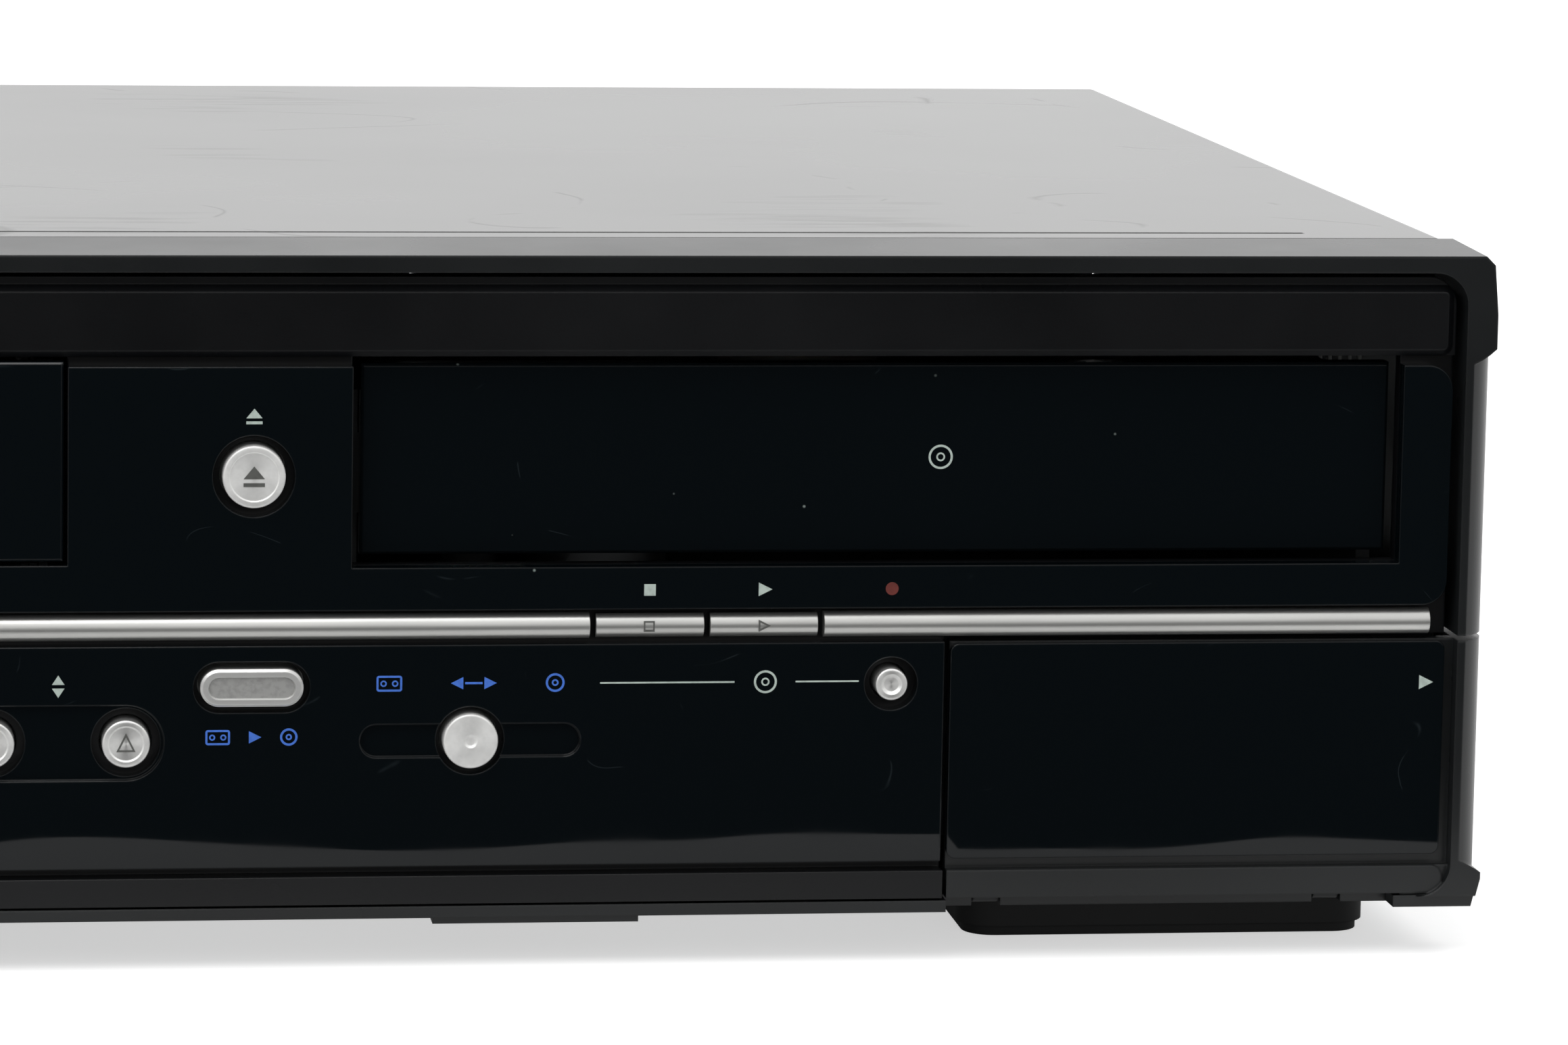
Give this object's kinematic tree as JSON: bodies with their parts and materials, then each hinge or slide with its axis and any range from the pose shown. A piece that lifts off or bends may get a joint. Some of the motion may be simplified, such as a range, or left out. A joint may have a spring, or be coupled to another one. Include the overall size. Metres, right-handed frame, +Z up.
{
  "type": "dvd vcr combo player",
  "caption": "Low cabinet that plays and records discs and video cassettes, with a motor tray, a cassette door, a fold-down jack flap and press keys.",
  "frame": {"origin": "on the floor below the middle of the bounding box", "axes": "+X to the right seen from the front, the front faces -Y, +Z up"},
  "size_m": [0.435, 0.269, 0.0995],
  "materials": {
    "black_abs": "fine-textured black ABS",
    "gloss_black": "polished black acrylic",
    "silver_plastic": "silver lacquer on ABS",
    "spun_metal": "spun and lacquered aluminium",
    "black_steel": "semi-gloss black paint on steel",
    "zinc_steel": "bright zinc-plated steel",
    "steel_bar": "ground steel",
    "drum_alloy": "turned aluminium",
    "rubber": "matt black rubber",
    "board": "glass-epoxy board",
    "grey_plastic": "grey moulded plastic",
    "white_acetal": "natural acetal",
    "brass": "turned brass",
    "display_glass": "tinted display glass",
    "jack_plating": "nickel plating"
  },
  "bodies": {
    "chassis": {"bottom_chassis": "zinc_steel", "rear_panel": "black_steel", "top_cover": "black_steel", "cover_screws": "black_steel", "feet": "rubber", "front_bezel": "black_abs", "fascia_frame": "black_abs", "upper_gloss_panel": "gloss_black", "lower_gloss_panel": "gloss_black", "silver_strips": "silver_plastic", "key_board": "board", "display_module": "display_glass", "front_jack_panel": "black_abs", "rca_jacks": "jack_plating", "aerial_sockets": "zinc_steel", "scart_sockets": "black_abs", "hdmi_socket": "zinc_steel", "mains_inlet": "black_abs", "main_board": "board", "power_board": "board", "fan_frame": "black_abs", "loader_frame": "grey_plastic", "tray_motor": "zinc_steel", "clamp_bridge": "zinc_steel", "deck_chassis": "zinc_steel", "tape_guides": "steel_bar"},
    "disc_tray": {"disc_tray": "grey_plastic", "tray_panel": "gloss_black"},
    "tray_gear": {"tray_gear": "white_acetal"},
    "motor_pinion": {"motor_pinion": "brass"},
    "traverse": {"traverse_frame": "grey_plastic", "guide_rods": "steel_bar", "spindle_motor": "zinc_steel"},
    "turntable": {"turntable": "white_acetal"},
    "pickup": {"pickup_sled": "grey_plastic"},
    "lead_screw": {"lead_screw": "steel_bar"},
    "clamp_puck": {"clamp_puck": "white_acetal"},
    "cassette_door": {"cassette_door": "gloss_black"},
    "lift": {"lift_frame": "zinc_steel"},
    "basket": {"cassette_basket": "zinc_steel"},
    "head_drum": {"head_drum": "drum_alloy"},
    "capstan": {"capstan": "steel_bar"},
    "pinch_roller": {"pinch_roller": "rubber"},
    "supply_reel": {"supply_reel": "white_acetal"},
    "take_up_reel": {"take_up_reel": "white_acetal"},
    "av_flap": {"av_flap": "black_abs", "flap_face": "gloss_black"},
    "fan_rotor": {"fan_rotor": "black_abs"},
    "dubbing_button": {"dubbing_button": "silver_plastic"},
    "open_close_button": {"open_close_button": "spun_metal"},
    "power_button": {"power_button": "spun_metal"},
    "program_up_button": {"program_up_button": "spun_metal"},
    "program_down_button": {"program_down_button": "spun_metal"},
    "select_button": {"select_button": "spun_metal"},
    "disc_record_button": {"disc_record_button": "spun_metal"},
    "tape_record_button": {"tape_record_button": "spun_metal"},
    "disc_stop_button": {"disc_stop_button": "silver_plastic"},
    "disc_play_button": {"disc_play_button": "silver_plastic"},
    "tape_stop_button": {"tape_stop_button": "silver_plastic"},
    "tape_play_button": {"tape_play_button": "silver_plastic"}
  },
  "joints": [
    {"name": "tray_slide", "type": "slide", "parent": "chassis", "child": "disc_tray", "axis": [0, -1, 0], "range_m": [0, 0.145]},
    {"name": "tray_gear_turn", "type": "hinge", "parent": "chassis", "child": "tray_gear", "pos_m": [0.0779, -0.1005, 0.059], "axis": [0, 0, 1], "continuous": true},
    {"name": "motor_pinion_turn", "type": "hinge", "parent": "chassis", "child": "motor_pinion", "pos_m": [0.0963, -0.1005, 0.058], "axis": [0, 0, 1], "continuous": true},
    {"name": "traverse_lift", "type": "slide", "parent": "chassis", "child": "traverse", "axis": [0, 0, 1], "range_m": [0, 0.0093]},
    {"name": "disc_spin", "type": "hinge", "parent": "traverse", "child": "turntable", "pos_m": [0.1319, -0.0545, 0.058], "axis": [0, 0, 1], "continuous": true},
    {"name": "pickup_slide", "type": "slide", "parent": "traverse", "child": "pickup", "axis": [0, 1, 0], "range_m": [0, 0.038]},
    {"name": "lead_screw_turn", "type": "hinge", "parent": "traverse", "child": "lead_screw", "pos_m": [0.1489, -0.0035, 0.0508], "axis": [0, 1, 0], "continuous": true},
    {"name": "puck_spin", "type": "hinge", "parent": "chassis", "child": "clamp_puck", "pos_m": [0.1319, -0.0545, 0.079], "axis": [0, 0, 1], "continuous": true},
    {"name": "door_swing", "type": "hinge", "parent": "chassis", "child": "cassette_door", "pos_m": [-0.08, -0.1257, 0.0876], "axis": [1, 0, 0], "range_deg": [0, 88], "stiffness_Nm_per_rad": 0.02},
    {"name": "lift_slide", "type": "slide", "parent": "chassis", "child": "lift", "axis": [0, 1, 0], "range_m": [0, 0.05]},
    {"name": "basket_drop", "type": "slide", "parent": "lift", "child": "basket", "axis": [0, 0, -1], "range_m": [0, 0.02]},
    {"name": "drum_spin", "type": "hinge", "parent": "chassis", "child": "head_drum", "pos_m": [-0.08, 0.044, 0.05], "axis": [0, 0, 1], "continuous": true},
    {"name": "capstan_spin", "type": "hinge", "parent": "chassis", "child": "capstan", "pos_m": [-0.036, 0.0255, 0.04], "axis": [0, 0, 1], "continuous": true},
    {"name": "pinch_spin", "type": "hinge", "parent": "chassis", "child": "pinch_roller", "pos_m": [-0.0266, 0.0345, 0.038], "axis": [0, 0, 1], "continuous": true},
    {"name": "supply_spin", "type": "hinge", "parent": "chassis", "child": "supply_reel", "pos_m": [-0.126, -0.0445, 0.035], "axis": [0, 0, 1], "continuous": true},
    {"name": "take_up_spin", "type": "hinge", "parent": "chassis", "child": "take_up_reel", "pos_m": [-0.034, -0.0445, 0.035], "axis": [0, 0, 1], "continuous": true},
    {"name": "flap_swing", "type": "hinge", "parent": "chassis", "child": "av_flap", "pos_m": [0.1714, -0.1275, 0.01], "axis": [1, 0, 0], "range_deg": [0, 85]},
    {"name": "fan_spin", "type": "hinge", "parent": "chassis", "child": "fan_rotor", "pos_m": [-0.11, 0.1175, 0.058], "axis": [0, 1, 0], "continuous": true},
    {"name": "dubbing_press", "type": "slide", "parent": "chassis", "child": "dubbing_button", "axis": [0, 1, 0], "range_m": [0, 0.0008], "stiffness_N_per_m": 900},
    {"name": "open_close_press", "type": "slide", "parent": "chassis", "child": "open_close_button", "axis": [0, 1, 0], "range_m": [0, 0.0008], "stiffness_N_per_m": 900},
    {"name": "power_press", "type": "slide", "parent": "chassis", "child": "power_button", "axis": [0, 1, 0], "range_m": [0, 0.0008], "stiffness_N_per_m": 900},
    {"name": "program_up_press", "type": "slide", "parent": "chassis", "child": "program_up_button", "axis": [0, 1, 0], "range_m": [0, 0.0008], "stiffness_N_per_m": 900},
    {"name": "program_down_press", "type": "slide", "parent": "chassis", "child": "program_down_button", "axis": [0, 1, 0], "range_m": [0, 0.0008], "stiffness_N_per_m": 900},
    {"name": "select_press", "type": "slide", "parent": "chassis", "child": "select_button", "axis": [0, 1, 0], "range_m": [0, 0.0008], "stiffness_N_per_m": 900},
    {"name": "disc_record_press", "type": "slide", "parent": "chassis", "child": "disc_record_button", "axis": [0, 1, 0], "range_m": [0, 0.0008], "stiffness_N_per_m": 900},
    {"name": "tape_record_press", "type": "slide", "parent": "chassis", "child": "tape_record_button", "axis": [0, 1, 0], "range_m": [0, 0.0008], "stiffness_N_per_m": 900},
    {"name": "disc_stop_press", "type": "slide", "parent": "chassis", "child": "disc_stop_button", "axis": [0, 1, 0], "range_m": [0, 0.0008], "stiffness_N_per_m": 900},
    {"name": "disc_play_press", "type": "slide", "parent": "chassis", "child": "disc_play_button", "axis": [0, 1, 0], "range_m": [0, 0.0008], "stiffness_N_per_m": 900},
    {"name": "tape_stop_press", "type": "slide", "parent": "chassis", "child": "tape_stop_button", "axis": [0, 1, 0], "range_m": [0, 0.0008], "stiffness_N_per_m": 900},
    {"name": "tape_play_press", "type": "slide", "parent": "chassis", "child": "tape_play_button", "axis": [0, 1, 0], "range_m": [0, 0.0008], "stiffness_N_per_m": 900}
  ],
  "couplings": [
    {"joint": "tray_gear_turn", "follows": "tray_slide", "rad_per_m": -125},
    {"joint": "motor_pinion_turn", "follows": "tray_slide", "rad_per_m": 354.17},
    {"joint": "lead_screw_turn", "follows": "pickup_slide", "rad_per_m": 2094.4}
  ]
}
